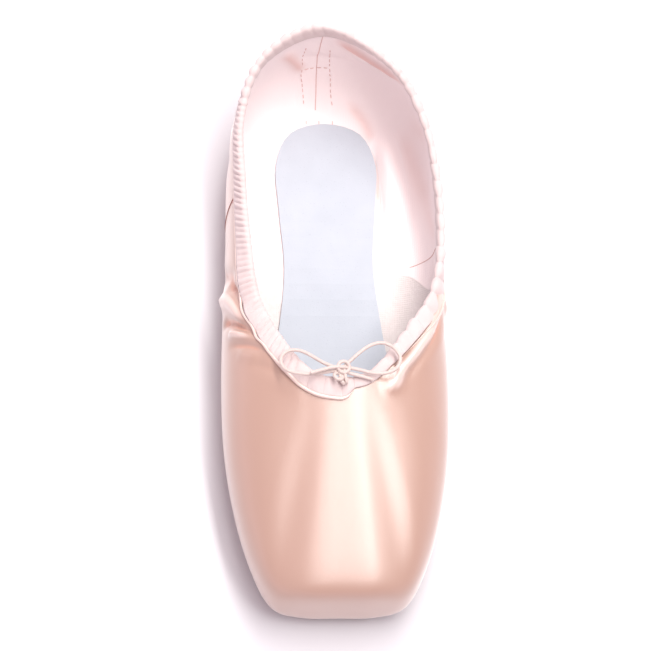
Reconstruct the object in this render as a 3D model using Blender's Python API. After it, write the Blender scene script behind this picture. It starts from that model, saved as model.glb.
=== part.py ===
"""A satin pointe shoe, standing empty on its sole, at its real size.

The toe points along -Y, the heel along +Y, and +Z is up. The origin is on the floor, under
the middle of the shoe. The upper is one hollow shell. It is worked out as columns that run
from the collar, over the widest line of the last, and under to the lasting margin. The
outsole, the insole and the collar binding take their lines from the same sections.
"""

import math
from collections import namedtuple

import bmesh
import bpy
import numpy as np

# Driving dimensions of the last, in metres
LENGTH = 0.236
BALL_WIDTH = 0.0905
THROAT_HEIGHT = 0.051
SIDE_HEIGHT = 0.0410
HEEL_HEIGHT = 0.0550
TOE_SPRING = 0.0022
ARCH_RISE = 0.0028

# Walls, layers and clearances
BOX_WALL = 0.0028
QUARTER_WALL = 0.0015
OUTSOLE_THICKNESS = 0.0024
OUTSOLE_BEVEL = 0.0005
INSOLE_PLATE = 0.0014
INSOLE_INSET = 0.0012
LASTING_MARGIN = 0.0065
GAP = 0.0003

# Sole outline
SOLE_WIDTH = 0.056
FOREFOOT_FLAT = (0.24, 0.43)
HEEL_FLAT = (0.72, 0.92)

# Binding and drawstring
BINDING_WIDTH = 0.006
BINDING_TAPE = 0.0008
CASING_HEIGHT = 0.0020
CORD_DIAMETER = 0.0014
CORD_SPACING = 0.0030
KNOT_SIZE = (0.0056, 0.0062, 0.0044)

# Pleats under the toe
PLEAT_DEPTH = 0.0007
PLEAT_COLUMNS = 3
PLEATED_PLACES = 5.0

# Resolution of the shell
TOE_COLUMNS = 28
BACK_COLUMNS = 28
TOE_PLACES = 5
UPPER_ROWS = 11
LOWER_ROWS = 6
CURVE_SAMPLES = 160

# One row for each place round half of the last, from the toe centre to the heel centre.
# outline: the widest line in plan, x as a share of half the ball width, y of the length.
# widest: its height as a share of the throat height.
# shoulder_in: how far the upper corner stands in, as a share of the way to the collar.
# shoulder_up: that corner's height, as a share of the collar's height there.
# turn, tuck: how tightly the wall turns at the shoulder and at the feather edge.
# feather_in: how far the feather edge stands in, as a share of the way to the sole edge.
# sole: edge of the outsole, x as a share of half the sole width, y of the length.
Section = namedtuple(
    "Section",
    "outline_x outline_y widest shoulder_in shoulder_up turn feather_in tuck sole_x sole_y",
)
SECTIONS = {
    "toe_centre": Section(0.000, 0.000, 0.20, 0.024, 0.640, 9.0, -0.02, 2.4, 0.000, 0.072),
    "platform": Section(0.310, 0.001, 0.20, 0.024, 0.635, 9.0, -0.02, 2.4, 0.286, 0.076),
    "toe_corner": Section(0.578, 0.013, 0.26, 0.022, 0.600, 5.0, 0.05, 2.2, 0.536, 0.091),
    "box_front": Section(0.756, 0.072, 0.34, 0.015, 0.660, 2.4, 0.06, 1.7, 0.732, 0.127),
    "box_side": Section(0.896, 0.165, 0.37, 0.000, 0.740, 1.5, 0.04, 1.3, 0.893, 0.195),
    "ball": Section(0.980, 0.271, 0.39, 0.000, 0.820, 1.2, 0.02, 1.1, 1.000, 0.288),
    "wing": Section(1.000, 0.386, 0.42, 0.000, 0.870, 1.0, 0.00, 0.9, 0.982, 0.394),
    "waist": Section(0.984, 0.508, 0.43, 0.000, 0.880, 0.8, 0.00, 0.8, 0.800, 0.508),
    "arch": Section(0.956, 0.636, 0.43, 0.000, 0.820, 0.7, 0.00, 0.8, 0.700, 0.627),
    "quarter": Section(0.945, 0.763, 0.45, 0.000, 0.800, 0.7, 0.00, 0.8, 0.765, 0.746),
    "heel_side": Section(0.872, 0.874, 0.49, 0.000, 0.800, 0.7, 0.00, 0.8, 0.795, 0.833),
    "heel_corner": Section(0.590, 0.961, 0.53, 0.000, 0.800, 0.7, 0.00, 0.8, 0.560, 0.898),
    "heel_centre": Section(0.000, 1.000, 0.55, 0.000, 0.800, 0.7, 0.00, 0.8, 0.000, 0.920),
}

# The collar's edge at the same places. The empty quarters lean a little to the right.
# x: shares of half the ball width, y: shares of the length.
# throat, heel: how far its height has risen from the side towards the throat and the heel.
Collar = namedtuple("Collar", "right_x right_y left_x left_y throat heel")
COLLAR = {
    "toe_centre": Collar(0.000, 0.3455, 0.000, 0.3455, 1.00, 0.00),
    "platform": Collar(0.100, 0.3475, 0.100, 0.3475, 1.00, 0.00),
    "toe_corner": Collar(0.200, 0.3530, 0.200, 0.3530, 0.99, 0.00),
    "box_front": Collar(0.300, 0.3660, 0.300, 0.3660, 0.96, 0.00),
    "box_side": Collar(0.400, 0.3865, 0.400, 0.3865, 0.89, 0.00),
    "ball": Collar(0.515, 0.4170, 0.505, 0.4170, 0.76, 0.00),
    "wing": Collar(0.660, 0.4580, 0.620, 0.4560, 0.53, 0.00),
    "waist": Collar(0.855, 0.5180, 0.745, 0.5210, 0.25, 0.00),
    "arch": Collar(0.950, 0.6120, 0.797, 0.6190, 0.04, 0.00),
    "quarter": Collar(0.945, 0.7240, 0.835, 0.7280, 0.00, 0.06),
    "heel_side": Collar(0.832, 0.8390, 0.845, 0.8390, 0.00, 0.32),
    "heel_corner": Collar(0.530, 0.9350, 0.640, 0.9430, 0.00, 0.76),
    "heel_centre": Collar(-0.090, 0.9970, 0.090, 0.9970, 0.00, 1.00),
}
PLACES = list(SECTIONS)
HALF_TURN = len(PLACES) - 1

# Routes of the drawstring's parts in millimetres from the collar's front edge, by hand
LEFT_LOOP = [
    (-3.5, 5.5, 3.0), (-7.2, 7.0, 3.1), (-11.5, 9.7, 3.2), (-15.6, 11.8, 3.2),
    (-19.4, 12.2, 2.9), (-22.6, 10.6, 2.7), (-23.6, 7.8, 2.6), (-22.3, 4.9, 2.6),
    (-19.0, 3.2, 2.7), (-14.6, 2.5, 2.9), (-10.4, 2.6, 3.0), (-6.8, 3.2, 3.0), (-3.5, 3.7, 2.9),
]
RIGHT_LOOP = [
    (2.3, 7.0, 3.0), (6.8, 11.2, 3.2), (10.8, 14.1, 3.3), (15.2, 15.4, 3.2),
    (19.2, 14.2, 3.0), (22.0, 11.2, 2.8), (22.5, 7.8, 2.7), (20.2, 4.4, 2.8),
    (15.6, 2.8, 3.0), (11.2, 3.0, 3.1), (7.2, 4.1, 3.1), (3.0, 5.0, 3.0),
]
LEFT_TAIL = [(-3.0, 4.7, 4.9), (-6.2, 3.9, 5.0), (-9.4, 3.0, 4.9), (-12.2, 2.2, 4.8)]
RIGHT_TAIL = [(2.8, 3.0, 2.5), (6.2, 2.2, 2.3), (9.4, 1.4, 2.1), (11.8, 0.7, 1.9)]
LEAD = [(0.6, -1.6, 2.5), (-0.5, -0.2, 3.0), (-0.9, 1.5, 3.1)]
KNOT_CENTRE = (-0.3, 4.9, 2.9)

Finish = namedtuple("Finish", "colour roughness")
FINISHES = {
    "satin": Finish((0.86, 0.60, 0.52), 0.35),
    "leather": Finish((0.72, 0.58, 0.46), 0.60),
    "suede": Finish((0.84, 0.85, 0.90), 0.85),
    "tape": Finish((0.92, 0.78, 0.74), 0.60),
    "elastic": Finish((0.88, 0.72, 0.65), 0.55),
}


def smooth_step(share):
    """0 to 1 with level ends."""
    share = np.clip(share, 0.0, 1.0)
    return share * share * (3.0 - 2.0 * share)


def round_the_last(right, left, places):
    """A smooth closed curve through the rows' values: the right side out, the left side back."""
    knots = np.array(list(right) + list(left)[-2:0:-1], float)
    index = np.floor(places).astype(int)
    t = (places - index)[:, None] if knots.ndim > 1 else places - index
    before, start, end, after = (knots[(index + step) % len(knots)] for step in (-1, 0, 1, 2))
    return 0.5 * (
        2 * start
        + (end - before) * t
        + (2 * before - 5 * start + 4 * end - after) * t**2
        + (3 * start - before - 3 * end + after) * t**3
    )


def column_places():
    """Where each column stands, as a place number round the last. The toe has more columns."""
    toe = np.linspace(0.0, TOE_PLACES, TOE_COLUMNS, endpoint=False)
    back = np.linspace(TOE_PLACES, HALF_TURN, BACK_COLUMNS, endpoint=False)
    right = np.concatenate([toe, back])
    left = 2 * HALF_TURN - np.append(right[1:], HALF_TURN)[::-1]
    return np.concatenate([right, left])


def along(share):
    """World y of a share of the length, from the toe."""
    return (share - 0.5) * LENGTH


def sole_rise(y):
    """Height of the outsole's underside over the floor: level at the forefoot and the heel."""
    share = y / LENGTH + 0.5
    toe = np.clip((FOREFOOT_FLAT[0] - share) / FOREFOOT_FLAT[0], 0.0, 1.0)
    arch = np.clip((share - FOREFOOT_FLAT[1]) / (HEEL_FLAT[0] - FOREFOOT_FLAT[1]), 0.0, 1.0)
    return TOE_SPRING * toe**2 + ARCH_RISE * np.sin(math.pi * arch) ** 2


def seat(y):
    """Height of the shell's underside, which lies on the outsole."""
    return sole_rise(y) + OUTSOLE_THICKNESS + GAP


def column(name, places):
    """One column of the section table, read round the last."""
    values = [getattr(SECTIONS[place], name) for place in PLACES]
    return round_the_last(values, values, places)


def mirrored(names, width, places):
    """A plan line of the section table with its left side mirrored."""
    rows = [[getattr(SECTIONS[place], name) for name in names] for place in PLACES]
    right = [(x * width / 2, along(y)) for x, y in rows]
    left = [(-x, y) for x, y in right]
    return round_the_last(right, left, places)


def collar_line(places):
    """The collar's edge in space."""
    right, left = [], []
    for row in (COLLAR[place] for place in PLACES):
        height = SIDE_HEIGHT
        height += row.throat * (THROAT_HEIGHT - SIDE_HEIGHT)
        height += row.heel * (HEEL_HEIGHT - SIDE_HEIGHT)
        right.append((row.right_x * BALL_WIDTH / 2, along(row.right_y), height))
        left.append((-row.left_x * BALL_WIDTH / 2, along(row.left_y), height))
    return round_the_last(right, left, places)


def inset(plan, distance):
    """A closed plan line moved towards its inside."""
    tangent = np.roll(plan, -1, axis=0) - np.roll(plan, 1, axis=0)
    tangent /= np.linalg.norm(tangent, axis=1)[:, None]
    return plan + distance * np.stack([-tangent[:, 1], tangent[:, 0]], axis=1)


def conic(start, corner, end, weight):
    """Samples of a conic that leaves start towards corner and arrives at end from it."""
    t = np.linspace(0.0, 1.0, CURVE_SAMPLES)[:, None, None]
    first, middle, last = (1 - t) ** 2, 2 * weight[:, None] * t * (1 - t), t**2
    return (first * start + middle * corner + last * end) / (first + middle + last)


def pick(samples, stations):
    """Points of each sampled curve at arc lengths, given for each curve and row."""
    steps = np.linalg.norm(np.diff(samples, axis=0), axis=2)
    lengths = np.concatenate([np.zeros((1, steps.shape[1])), np.cumsum(steps, axis=0)])
    picked = np.empty((stations.shape[0], samples.shape[1], 3))
    for c in range(samples.shape[1]):
        for axis in range(3):
            picked[:, c, axis] = np.interp(stations[:, c], lengths[:, c], samples[:, c, axis])
    return picked


def spread(samples, first, rows):
    """Arc lengths of the rows: half by length and half by turn, so that corners get more."""
    steps = np.linalg.norm(np.diff(samples, axis=0), axis=2)
    lengths = np.concatenate([np.zeros((1, steps.shape[1])), np.cumsum(steps, axis=0)])
    parameter = np.linspace(0.0, 1.0, CURVE_SAMPLES)
    stations = np.empty((rows + 1, samples.shape[1]))
    for c in range(samples.shape[1]):
        start = np.interp(first, lengths[:, c], parameter)
        by_turn = (parameter - start) / (1 - start)
        by_length = (lengths[:, c] - first) / (lengths[-1, c] - first)
        stations[:, c] = np.interp(
            np.linspace(0.0, 1.0, rows + 1), (by_turn + by_length) / 2, lengths[:, c]
        )
    return stations


def outer_rings(places):
    """The upper's outside: a closed ring for each row, from the collar to the lasting margin."""
    collar = collar_line(places)
    plan = mirrored(("outline_x", "outline_y"), BALL_WIDTH, places)
    edge = mirrored(("sole_x", "sole_y"), SOLE_WIDTH, places)
    widest = np.column_stack([plan, column("widest", places) * THROAT_HEIGHT])
    shoulder = widest + (collar - widest) * column("shoulder_in", places)[:, None]
    shoulder[:, 2] = column("shoulder_up", places) * collar[:, 2]
    feather = plan + (edge - plan) * column("feather_in", places)[:, None]
    feather = np.column_stack([feather, seat(feather[:, 1])])
    sole_edge = np.column_stack([edge, seat(edge[:, 1])])
    upper = conic(collar, shoulder, widest, column("turn", places))
    lower = conic(widest, feather, sole_edge, column("tuck", places))
    margin = inset(edge, LASTING_MARGIN)
    rings = [collar]
    rings += list(pick(upper, spread(upper, BINDING_WIDTH, UPPER_ROWS)))
    rings += list(pick(lower, spread(lower, 0.0, LOWER_ROWS)))[1:]
    rings.append(np.column_stack([margin, seat(margin[:, 1])]))
    return np.array(rings)


def normals(rings):
    """Outward directions of a sheet of rings."""
    around = np.roll(rings, -1, axis=1) - np.roll(rings, 1, axis=1)
    down = np.gradient(rings, axis=0)
    out = np.cross(down, around)
    return out / np.linalg.norm(out, axis=2)[:, :, None]


def wall_depth(places, rows):
    """Wall thickness for each row and column: stiff in the box, thin at the edges and behind."""
    round_toe = np.minimum(places, 2 * HALF_TURN - places)
    box = 1.0 - smooth_step((round_toe - TOE_PLACES) / 2.0)
    row = np.arange(rows)
    between = smooth_step((row - 1) / 2.0) * smooth_step((rows - 2 - row) / 2.0)
    return QUARTER_WALL + (BOX_WALL - QUARTER_WALL) * between[:, None] * box[None, :]


def pleats(places, rows):
    """Depth of the gathered folds under the toe, cut into the outside of the shell."""
    round_toe = np.minimum(places, 2 * HALF_TURN - places)
    number = np.round(round_toe * TOE_COLUMNS / TOE_PLACES).astype(int)
    fold = (number % PLEAT_COLUMNS) / (PLEAT_COLUMNS - 1)
    fade = smooth_step((PLEATED_PLACES - round_toe) / 1.0)
    row = np.arange(rows) - (rows - 1 - LOWER_ROWS)
    under = smooth_step((row - 1.0) / 1.5) * (row < LOWER_ROWS)
    return PLEAT_DEPTH * under[:, None] * (fold * fade)[None, :]


def material(name):
    """A plain material with the finish of that name."""
    made = bpy.data.materials.get(name) or bpy.data.materials.new(name)
    made.use_nodes = True
    shader = made.node_tree.nodes["Principled BSDF"]
    shader.inputs["Base Color"].default_value = (*FINISHES[name].colour, 1.0)
    shader.inputs["Roughness"].default_value = FINISHES[name].roughness
    return made


def add_mesh(name, bm, finish):
    """An object from a bmesh, with its normals facing out."""
    bmesh.ops.remove_doubles(bm, verts=bm.verts, dist=1e-6)
    bmesh.ops.recalc_face_normals(bm, faces=bm.faces)
    mesh = bpy.data.meshes.new(name)
    bm.to_mesh(mesh)
    bm.free()
    mesh.shade_smooth()
    mesh.materials.append(material(finish))
    made = bpy.data.objects.new(name, mesh)
    bpy.context.scene.collection.objects.link(made)
    return made


def skin(name, rings, finish, closed=False):
    """A solid from closed rings of equal count. closed joins the last ring to the first."""
    bm = bmesh.new()
    loops = [[bm.verts.new(point) for point in ring] for ring in rings]
    pairs = list(zip(loops, loops[1:] + loops[:1])) if closed else list(zip(loops, loops[1:]))
    for upper, lower in pairs:
        for i, start in enumerate(upper):
            after = (i + 1) % len(upper)
            bm.faces.new((start, upper[after], lower[after], lower[i]))
    return add_mesh(name, bm, finish)


def plate_ring(plan, share, height):
    """A plan line drawn in towards the shoe's middle line, at a height for each point's y."""
    return np.column_stack([plan[:, 0] * share, plan[:, 1], height(plan[:, 1])])


def build_upper(outer, out, places):
    """The satin shell: box, vamp, wings and quarters in one wall."""
    depth = wall_depth(places, len(outer))
    inner = outer - out * depth[:, :, None]
    outside = outer - out * pleats(places, len(outer))[:, :, None]
    last = len(outer) - 1
    inner_rows = [0, 1] + list(range(3, last - 1, 2)) + [last - 1, last]
    rings = list(outside) + [inner[row] for row in inner_rows[::-1]]
    return skin("upper", rings, "satin", closed=True)


def build_binding(outer, out):
    """The tape folded over the collar's edge, with the drawstring's casing along its top."""
    edge, low = outer[0], outer[1]
    edge_out, low_out = out[0], out[1]
    off = edge - low
    off /= np.linalg.norm(off, axis=1)[:, None]
    near, far = GAP, GAP + BINDING_TAPE
    crown = GAP + CASING_HEIGHT
    profile = [
        low + low_out * far,
        edge + edge_out * far,
        edge + edge_out * far * 0.5 + off * crown,
        edge - edge_out * (QUARTER_WALL + far * 0.5) + off * crown,
        edge - edge_out * (QUARTER_WALL + far),
        low - low_out * (QUARTER_WALL + far),
        low - low_out * (QUARTER_WALL + near),
        edge - edge_out * (QUARTER_WALL + near) + off * near,
        edge + edge_out * near + off * near,
        low + low_out * near,
    ]
    return skin("collar_binding", profile, "tape", closed=True)


def build_outsole(places):
    """The thin leather sole, level under the ball and the heel, with a bevelled lower edge."""
    edge = mirrored(("sole_x", "sole_y"), SOLE_WIDTH, places)
    tread = inset(edge, OUTSOLE_BEVEL)

    def top(y):
        return sole_rise(y) + OUTSOLE_THICKNESS

    def side(y):
        return sole_rise(y) + OUTSOLE_BEVEL

    rings = [plate_ring(tread, share, sole_rise) for share in (0.0, 0.5, 1.0)]
    rings.append(plate_ring(edge, 1.0, side))
    rings += [plate_ring(edge, share, top) for share in (1.0, 0.5, 0.0)]
    return skin("outsole", rings, "leather")


def build_insole(places):
    """The insole board: a plate on the lasting margin, stepped down into the gap inside it."""
    edge = mirrored(("sole_x", "sole_y"), SOLE_WIDTH, places)
    step = inset(edge, LASTING_MARGIN + GAP)
    rim = inset(edge, INSOLE_INSET)

    def shelf(y):
        return seat(y) + QUARTER_WALL + GAP

    def top(y):
        return shelf(y) + INSOLE_PLATE

    rings = [plate_ring(step, share, seat) for share in (0.0, 0.5, 1.0)]
    rings.append(plate_ring(step, 1.0, shelf))
    rings.append(plate_ring(rim, 1.0, shelf))
    rings += [plate_ring(rim, share, top) for share in (1.0, 0.5, 0.0)]
    return skin("insole", rings, "suede")


def smooth_route(points, start):
    """Evenly spaced points of a smooth curve through a cord's own points, in metres."""
    knots = np.array(points) / 1000.0 + start
    ends = np.vstack([2 * knots[0] - knots[1], knots, 2 * knots[-1] - knots[-2]])
    t = np.linspace(0.0, 1.0, 24, endpoint=False)[:, None]
    pieces = []
    for before, begin, end, after in zip(ends, ends[1:], ends[2:], ends[3:]):
        pieces.append(
            0.5
            * (
                2 * begin
                + (end - before) * t
                + (2 * before - 5 * begin + 4 * end - after) * t**2
                + (3 * begin - before - 3 * end + after) * t**3
            )
        )
    fine = np.vstack(pieces + [knots[-1:]])
    lengths = np.append(0.0, np.cumsum(np.linalg.norm(np.diff(fine, axis=0), axis=1)))
    count = max(3, round(lengths[-1] / CORD_SPACING) + 1)
    stations = np.linspace(0.0, lengths[-1], count)
    return np.column_stack([np.interp(stations, lengths, fine[:, axis]) for axis in range(3)])


def build_cord(name, points, start):
    """A plain tube along a cord's route."""
    curve = bpy.data.curves.new(name, "CURVE")
    curve.dimensions = "3D"
    curve.bevel_depth = CORD_DIAMETER / 2
    curve.bevel_resolution = 2
    curve.use_fill_caps = True
    route = smooth_route(points, start)
    spline = curve.splines.new("POLY")
    spline.points.add(len(route) - 1)
    for point, place in zip(spline.points, route):
        point.co = (*place, 1.0)
    curve.materials.append(material("elastic"))
    made = bpy.data.objects.new(name, curve)
    bpy.context.scene.collection.objects.link(made)
    return made


def build_knot(start):
    """The outer shape of the drawstring's bow knot."""
    bm = bmesh.new()
    bmesh.ops.create_uvsphere(bm, u_segments=16, v_segments=10, radius=0.5)
    bmesh.ops.scale(bm, vec=KNOT_SIZE, verts=bm.verts)
    centre = np.array(KNOT_CENTRE) / 1000.0 + start
    bmesh.ops.translate(bm, vec=centre, verts=bm.verts)
    return add_mesh("drawstring_knot", bm, "elastic")


def main():
    for old in list(bpy.data.objects):
        bpy.data.objects.remove(old)
    places = column_places()
    outer = outer_rings(places)
    out = normals(outer)
    build_upper(outer, out, places)
    build_binding(outer, out)
    build_outsole(places)
    build_insole(places)
    throat = outer[0, 0]
    build_knot(throat)
    build_cord("drawstring_lead", LEAD, throat)
    build_cord("drawstring_loop_left", LEFT_LOOP, throat)
    build_cord("drawstring_loop_right", RIGHT_LOOP, throat)
    build_cord("drawstring_tail_left", LEFT_TAIL, throat)
    build_cord("drawstring_tail_right", RIGHT_TAIL, throat)


main()
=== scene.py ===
"""The looks of a satin pointe shoe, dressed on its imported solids.

The toe points along -Y, the heel along +Y and +Z is up, in metres. The upper and the binding are
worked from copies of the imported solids, the soles keep their meshes and take new materials, and
the drawstring follows its own route.
"""

import math
import random
from collections import namedtuple

import bmesh
import bpy
import numpy as np
from mathutils import Matrix, Vector, bvhtree, kdtree


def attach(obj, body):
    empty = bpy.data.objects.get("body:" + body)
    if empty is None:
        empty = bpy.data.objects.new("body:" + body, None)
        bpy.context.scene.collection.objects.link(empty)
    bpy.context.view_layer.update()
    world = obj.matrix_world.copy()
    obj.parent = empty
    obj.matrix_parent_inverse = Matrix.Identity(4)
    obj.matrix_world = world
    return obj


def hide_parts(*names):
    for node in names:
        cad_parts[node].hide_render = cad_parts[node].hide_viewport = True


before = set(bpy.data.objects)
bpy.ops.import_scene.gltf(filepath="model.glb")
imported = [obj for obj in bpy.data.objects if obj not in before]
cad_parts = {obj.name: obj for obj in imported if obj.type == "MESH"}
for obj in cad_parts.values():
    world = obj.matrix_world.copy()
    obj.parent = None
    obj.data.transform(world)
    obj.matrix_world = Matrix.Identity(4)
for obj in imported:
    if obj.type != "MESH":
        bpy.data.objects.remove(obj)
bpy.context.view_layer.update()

bl_info = {
    "name": "Pointe shoe",
    "version": (1, 0, 0),
    "blender": (4, 5, 0),
    "location": "3D View > Sidebar > Pointe shoe",
    "description": "Dresses the solids of a pointe shoe in satin, tape, lining and elastic",
    "category": "Object",
}

THROAT = Vector((0.0, -0.03646, 0.0510))

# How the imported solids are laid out: columns round the last, and rings down the wall
COLUMNS = 112
UPPER_RINGS = 32
OUTER_RINGS = 19
BINDING_RINGS = 10
# The columns of the upper that are cut once more, because its folds are finest there
FINE_COLUMNS = (*range(8, 28), *range(48, 64), *range(76, 96))
BINDING_CUTS = 7

GATHER_DEPTH = 0.0006
PIPING_RADIUS = 0.0007
PIPING_PASSES = 40  # how often the piping's line is smoothed

# The outward direction at a point: how many places of the skin it blends, and over what distance
OUT_PLACES = 4
OUT_BLEND = 0.0008

# Routes of the drawstring in millimetres from the collar's front edge
LEFT_LOOP = [
    (-3.5, 5.5, 3.0), (-7.2, 7.0, 3.1), (-11.5, 9.7, 3.2), (-15.6, 11.8, 3.2),
    (-19.4, 12.2, 2.9), (-22.6, 10.6, 2.7), (-23.6, 7.8, 2.6), (-22.3, 4.9, 2.6),
    (-19.0, 3.2, 2.7), (-14.6, 2.5, 2.9), (-10.4, 2.6, 3.0), (-6.8, 3.2, 3.0), (-3.5, 3.7, 2.9),
]
RIGHT_LOOP = [
    (2.3, 7.0, 3.0), (6.8, 11.2, 3.2), (10.8, 14.1, 3.3), (15.2, 15.4, 3.2),
    (19.2, 14.2, 3.0), (22.0, 11.2, 2.8), (22.5, 7.8, 2.7), (20.2, 4.4, 2.8),
    (15.6, 2.8, 3.0), (11.2, 3.0, 3.1), (7.2, 4.1, 3.1), (3.0, 5.0, 3.0),
]
LEFT_TAIL = [(-3.0, 4.7, 4.9), (-6.2, 3.9, 5.0), (-9.4, 3.0, 4.9), (-12.2, 2.2, 4.8)]
RIGHT_TAIL = [(2.8, 3.0, 2.5), (6.2, 2.2, 2.3), (9.4, 1.4, 2.1), (11.8, 0.7, 1.9)]
LEAD = [(0.6, -1.6, 2.5), (-0.5, -0.2, 3.0), (-0.9, 1.5, 3.1)]

# The knot's turns: ring radius, tilts about X, Y and Z in degrees, and place from the collar's edge
KNOT_RINGS = (
    (2.2, (10, 8, 0), (0.5, 5.0, 4.0)),
    (1.65, (-22, 20, 0), (-1.6, 1.4, 3.6)),
)

# One row for each fold of the satin, in millimetres.
# points: the fold's line on the shell. rise: its height, below zero for a trough.
# half_width: how far it spreads. fade: share of its length over which each end dies away.
# layer: the walls that it moves.
Fold = namedtuple("Fold", "points rise half_width fade layer")
FOLDS = {
    "left_notch": Fold(
        [(-43.4, 22, 19), (-43.2, 17, 27), (-41.8, 14, 33.5), (-39.6, 11.5, 38)], -1.5, 2.8, 0.3, "all"),
    "left_roll": Fold(
        [(-43.9, 9, 19), (-43.8, 7, 27), (-42.4, 4.5, 33), (-40.3, 0.6, 37.4), (-36.8, -5.4, 41.8),
         (-32.8, -10.6, 45.3)], 2.3, 3.0, 0.22, "all"),
    "left_trough_back": Fold(
        [(-42.6, 12.5, 31), (-40.8, 8.4, 36), (-38, 0.8, 41.2), (-34, -5.2, 44.4)],
        -2.8, 1.8, 0.25, "all"),
    "left_trough_front": Fold(
        [(-43.8, -4.2, 25), (-43.2, -4.0, 30), (-41.5, -5.8, 35), (-38.3, -9.0, 39.9),
         (-34.6, -12, 43), (-29.6, -15.9, 47)], -2.8, 1.7, 0.2, "all"),
    "left_ridge_front": Fold(
        [(-42.5, -9.5, 33), (-38.9, -12.1, 39.6), (-34.4, -14.4, 43.3), (-28.3, -19.3, 47.5)],
        2.3, 1.6, 0.25, "all"),
    "left_crease_high": Fold(
        [(-42.4, -15.2, 33), (-38, -17.5, 40.3), (-34.4, -18.8, 43.2), (-28, -22.3, 47)],
        -1.2, 1.4, 0.3, "outside"),
    "left_swell_high": Fold(
        [(-40, -20, 38), (-35.5, -22, 42.2), (-30, -24.4, 45)], 0.6, 2.4, 0.35, "outside"),
    "left_crease_low": Fold(
        [(-36.8, -25.4, 41.4), (-30.4, -27.8, 45.2), (-23, -31.6, 47.6), (-15.9, -37.6, 48.9)],
        -0.55, 2.0, 0.3, "outside"),
    "left_swell_low": Fold(
        [(-28, -31.5, 45.5), (-20, -37, 48), (-12, -41.5, 49)], 0.35, 3.0, 0.35, "outside"),
    "right_roll": Fold(
        [(43.8, 10, 36), (41.9, 3.2, 41.1), (37.6, -9.4, 43.9), (32.2, -18.3, 45.4), (24.4, -29.5, 47.7),
         (20, -35.3, 48.4), (14, -39.5, 49)], 2.7, 2.5, 0.16, "outside"),
    "right_gap": Fold(
        [(41, 3, 42.4), (39.1, -0.7, 43.3), (34.4, -10.8, 45.8), (27.1, -21, 48.5), (20, -29.5, 50)],
        -2.8, 1.3, 0.25, "outside"),
    "right_trough": Fold(
        [(44.6, 1.5, 31), (43.6, -1.8, 36), (41.4, -6.8, 39.4), (37.4, -14.6, 42.2), (32, -22.2, 44.6),
         (26, -30.2, 46.6), (21.5, -37, 47.4)], -1.7, 1.9, 0.2, "outside"),
    "right_swell": Fold(
        [(43.4, -9, 34), (39.8, -15, 39.5), (34.5, -22.5, 43), (28, -31, 45.6)], 0.5, 3.2, 0.3, "outside"),
    "right_bulge": Fold([(44.6, 9, 22), (44.8, 5, 28), (44.4, 2.0, 33)], 1.5, 4.0, 0.35, "all"),
    "right_notch": Fold([(44.8, -5.5, 22), (44.4, -6.0, 29), (43.4, -6.5, 35)], -1.3, 2.6, 0.35, "all"),
    "left_drape": Fold([(-42.5, 62, 31), (-42.8, 74, 22), (-41, 84, 12)], -0.7, 5.0, 0.4, "all"),
    "left_drape_low": Fold([(-44, 38, 20), (-43.4, 52, 12), (-42, 64, 7)], -0.5, 4.0, 0.4, "all"),
    "right_drape": Fold([(44.2, 30, 32), (43.6, 46, 22), (42.2, 60, 12)], -0.7, 5.0, 0.4, "all"),
    "right_drape_back": Fold([(41, 78, 33), (41, 88, 22), (37, 96, 11)], -0.6, 4.5, 0.4, "all"),
    "heel_left_fold": Fold(
        [(-20.5, 110.6, 45), (-16, 113, 35), (-12.4, 114, 27), (-11, 114.1, 20)], -1.3, 2.6, 0.3, "all"),
    "heel_right_fold": Fold(
        [(1, 115.8, 49), (8, 114.6, 43.5), (16.7, 111.7, 38.3), (24, 107, 36), (31, 99, 37)],
        -1.9, 3.0, 0.25, "all"),
    "heel_ridge": Fold(
        [(-14, 113.6, 37), (-7, 115.4, 31.5), (0, 116, 29.5), (9, 115, 29), (20, 109.5, 31), (29, 101, 33)],
        1.1, 3.0, 0.25, "all"),
    "heel_low_fold": Fold(
        [(8.6, 107.9, 9.0), (13, 103.4, 7), (17.3, 97.3, 5.5), (20, 87, 5)], -0.8, 2.2, 0.3, "inside"),
    "insole_gap": Fold(
        [(19.0, 90, 4.6), (20.8, 78, 4.5), (21.8, 66, 4.4), (23.0, 56, 4.5), (22.0, 50, 4.6), (20, 44, 5)],
        -1.7, 1.5, 0.25, "inside"),
    # A shallow trough, there mostly to paint pink shade on the lining.
    "lining_shade_fold": Fold(
        [(29, 96, 9), (33, 84, 10.5), (38, 66, 14.5), (41, 48, 20)], -0.6, 6.0, 0.3, "inside"),
    "lining_roll": Fold(
        [(22.5, 95, 6.5), (25.5, 84, 7.0), (27, 70, 7.4), (26.6, 58, 7.6), (23.6, 47, 8.2), (20.5, 38, 9),
         (19, 28, 10), (19, 18, 10.6), (20.6, 8, 10.6), (22.5, -3, 10), (24.5, -14, 9)],
        4.5, 3.6, 0.14, "inside"),
}
# The tape sewn over the back seam inside the heel
Strip = namedtuple("Strip", "middle half_width top front rise edge")
HEEL_STRIP = Strip(-0.0047, 0.0068, 0.0235, 0.09, 0.0004, 0.0006)
# The canvas patch's edge: its place at the sides, how it curves back, and how it leans with height
Canvas = namedtuple("Canvas", "back curve curve_from lean lean_from lean_over")
CANVAS = Canvas(0.027, 100.0, 0.031, 0.010, 0.008, 0.009)
# The tape holds the satin: the share of a fold that reaches it, the rings below the collar over
# which the hold ends, and how many outside rings one inside ring is worth
COLLAR_HOLD = 0.35
HOLD_FROM, HOLD_OVER = 1.2, 2.2
INSIDE_RING = 1.5
# Fold depth paints shade into troughs and highlight onto ridges; both are fullest at this rise.
PAINTED_SHADE_DEPTH = 1.5  # the rise in millimetres at which a fold shows its fullest colour
FOLD_FALL = 1.7  # how steeply a fold falls off past its half width


# ---------------------------------------------------------------- sizes and colours


def length_property(name, description, default):
    """A length that a user would change."""
    return bpy.props.FloatProperty(
        name=name, description=description, default=default, subtype="DISTANCE", unit="LENGTH")


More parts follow.
